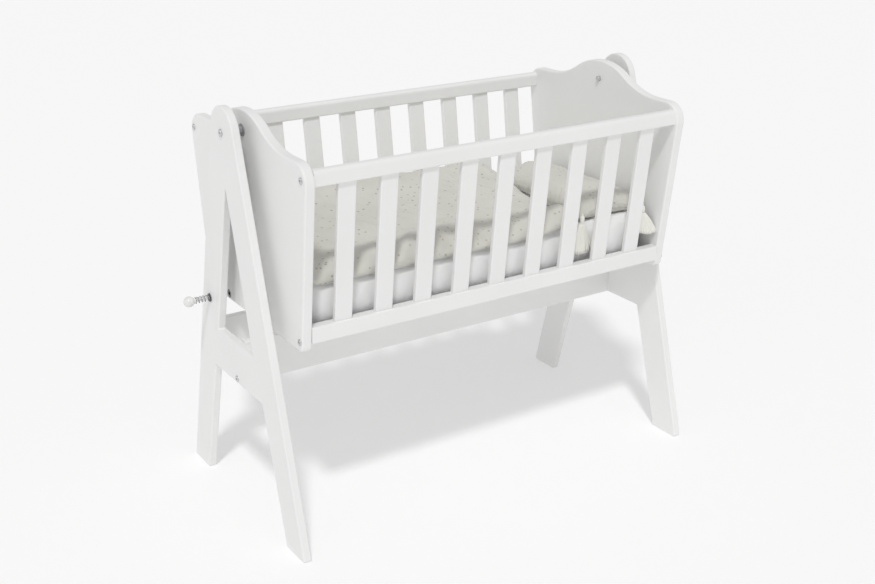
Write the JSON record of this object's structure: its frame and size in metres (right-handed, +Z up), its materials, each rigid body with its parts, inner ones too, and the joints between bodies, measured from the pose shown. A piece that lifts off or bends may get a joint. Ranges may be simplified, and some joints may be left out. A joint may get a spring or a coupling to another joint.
{
  "type": "swinging baby cradle",
  "caption": "White slatted wooden baby cradle that swings on pivots between two A-shaped stand frames, with a spring lock pin, mattress, duvet and pillow.",
  "frame": {"origin": "middle of the bounding box, on the floor", "axes": "+X along the cradle's length towards the end without the lock pin, +Y towards the stand's low rear board, +Z up"},
  "size_m": [1.0987, 0.5682, 0.8999],
  "materials": {
    "white_paint": "satin white paint on wood",
    "steel": "zinc-plated, satin",
    "grey_plastic": "matt moulded nylon",
    "bare_wood": "bare beech",
    "knob": "gloss moulded",
    "base_board": "white-faced board",
    "mattress_cover": "plain white cotton cover",
    "printed_cotton": "cream cotton with a sparse dot print",
    "tassel_yarn": "soft ivory yarn"
  },
  "bodies": {
    "stand": {"stand_frame_left": "white_paint", "stand_frame_right": "white_paint", "stretcher_centre": "white_paint", "stretcher_rear": "white_paint", "stretcher_bolts": "steel", "stretcher_dowels": "bare_wood", "pivot_bolts": "steel", "pivot_nuts": "steel", "pivot_spacers": "grey_plastic", "lock_guide": "steel", "lock_spring": "steel"},
    "cradle": {"end_panel_left": "white_paint", "end_panel_right": "white_paint", "rail_top_front": "white_paint", "rail_top_rear": "white_paint", "rail_bottom_front": "white_paint", "rail_bottom_rear": "white_paint", "slat_front_1": "white_paint", "slat_front_2": "white_paint", "slat_front_3": "white_paint", "slat_front_4": "white_paint", "slat_front_5": "white_paint", "slat_front_6": "white_paint", "slat_front_7": "white_paint", "slat_front_8": "white_paint", "slat_front_9": "white_paint", "slat_rear_1": "white_paint", "slat_rear_2": "white_paint", "slat_rear_3": "white_paint", "slat_rear_4": "white_paint", "slat_rear_5": "white_paint", "slat_rear_6": "white_paint", "slat_rear_7": "white_paint", "slat_rear_8": "white_paint", "slat_rear_9": "white_paint", "rail_bolts": "steel", "rail_dowels": "bare_wood", "pivot_bushes": "grey_plastic", "lock_socket": "steel", "mattress_base": "base_board", "mattress": "mattress_cover", "duvet": "printed_cotton", "pillow": "printed_cotton", "pillow_tassels": "tassel_yarn"},
    "lock_pin": {"lock_rod": "steel", "lock_clip": "steel", "lock_knob": "knob"}
  },
  "joints": [
    {"name": "cradle_swing", "type": "hinge", "parent": "stand", "child": "cradle", "pos_m": [0.02865, 0, 0.846], "axis": [1, 0, 0], "range_deg": [-15, 15]},
    {"name": "lock_slide", "type": "slide", "parent": "stand", "child": "lock_pin", "axis": [1, 0, 0], "range_m": [0, 0.0238], "stiffness_N_per_m": 300, "springref_m": -0.005, "deforming": ["lock_spring"]}
  ]
}
